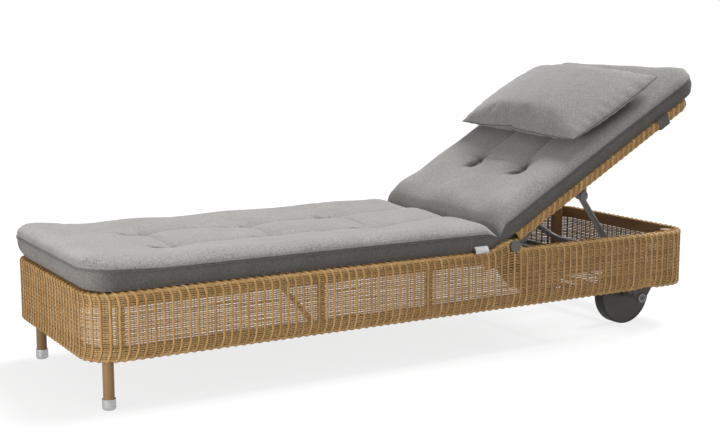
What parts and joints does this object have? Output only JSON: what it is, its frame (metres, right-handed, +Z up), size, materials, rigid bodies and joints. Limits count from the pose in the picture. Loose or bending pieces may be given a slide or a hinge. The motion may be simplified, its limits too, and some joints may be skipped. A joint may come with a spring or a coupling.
{
  "type": "reclining sun lounger",
  "caption": "Long low lounger with an open woven base on feet and wheels, a backrest that tips up on a hinge and is propped by a bail, and a tufted folding cushion with a pillow.",
  "frame": {"origin": "on the floor under the middle of the lounger's length and width", "axes": "+X from the foot end to the head end, +Y across to the right-hand side of someone lying on it, +Z up"},
  "size_m": [2.075, 0.69, 0.8333],
  "materials": {
    "wicker": "woven round strand",
    "brown_frame": "satin paint",
    "grey_metal": "powder coat",
    "foot_metal": "brushed",
    "wheel": "moulded",
    "tyre": "matt",
    "bush": "moulded",
    "cushion_fabric": "outdoor weave",
    "strap": "webbing"
  },
  "bodies": {
    "base": {"top_rail_left": "brown_frame", "top_rail_right": "brown_frame", "top_rail_ends": "brown_frame", "top_rail_bends": "brown_frame", "bottom_rail_left": "brown_frame", "bottom_rail_right": "brown_frame", "bottom_rail_ends": "brown_frame", "bottom_rail_bends": "brown_frame", "base_weave_left": "wicker", "base_weave_right": "wicker", "base_weave_ends": "wicker", "base_weave_bends": "wicker", "base_weavers": "wicker", "side_posts": "brown_frame", "corner_posts": "brown_frame", "side_braces": "brown_frame", "seat_slats": "brown_frame", "hinge_cross_tube": "grey_metal", "seat_deck": "wicker", "leg_left": "brown_frame", "leg_right": "brown_frame", "foot_left": "foot_metal", "foot_right": "foot_metal", "leg_gussets": "brown_frame", "hinge_plates": "grey_metal", "hinge_pin_left": "grey_metal", "hinge_pin_right": "grey_metal", "hinge_humps": "wicker", "hinge_nuts": "grey_metal", "racks": "grey_metal", "rack_tube": "grey_metal", "wheel_brackets": "grey_metal", "axle": "grey_metal", "axle_caps": "grey_metal", "axle_sleeves": "grey_metal", "seat_cushion": "cushion_fabric"},
    "backrest": {"back_rail_left": "brown_frame", "back_rail_right": "brown_frame", "back_rail_top": "brown_frame", "back_rail_bends": "brown_frame", "back_wrap_left": "wicker", "back_wrap_right": "wicker", "back_wrap_top": "wicker", "back_wrap_bends": "wicker", "hinge_tongues": "grey_metal", "back_cross_tube": "brown_frame", "back_slats": "brown_frame", "back_panel": "wicker", "bail_lugs": "grey_metal", "bail_pins": "grey_metal", "cushion_straps": "strap", "back_cushion": "cushion_fabric", "pillow": "cushion_fabric"},
    "bail": {"bail": "grey_metal"},
    "wheel_left": {"wheel_disc_left": "wheel", "tyre_left": "tyre", "wheel_bush_left": "bush"},
    "wheel_right": {"wheel_disc_right": "wheel", "tyre_right": "tyre", "wheel_bush_right": "bush"}
  },
  "joints": [
    {"name": "recline", "type": "hinge", "parent": "base", "child": "backrest", "pos_m": [0.3095, 0, 0.323], "axis": [0, -1, 0], "range_deg": [-29.6, 25.4]},
    {"name": "bail_swing", "type": "hinge", "parent": "backrest", "child": "bail", "pos_m": [0.59238, 0, 0.45265], "axis": [0, -1, 0], "range_deg": [-53.5, 62.3]},
    {"name": "wheel_left_spin", "type": "hinge", "parent": "base", "child": "wheel_left", "pos_m": [0.8445, -0.223, 0.1], "axis": [0, 1, 0], "continuous": true},
    {"name": "wheel_right_spin", "type": "hinge", "parent": "base", "child": "wheel_right", "pos_m": [0.8445, 0.223, 0.1], "axis": [0, 1, 0], "continuous": true}
  ],
  "couplings": [
    {"joint": "bail_swing", "follows": "recline", "ratio": -2.1}
  ]
}
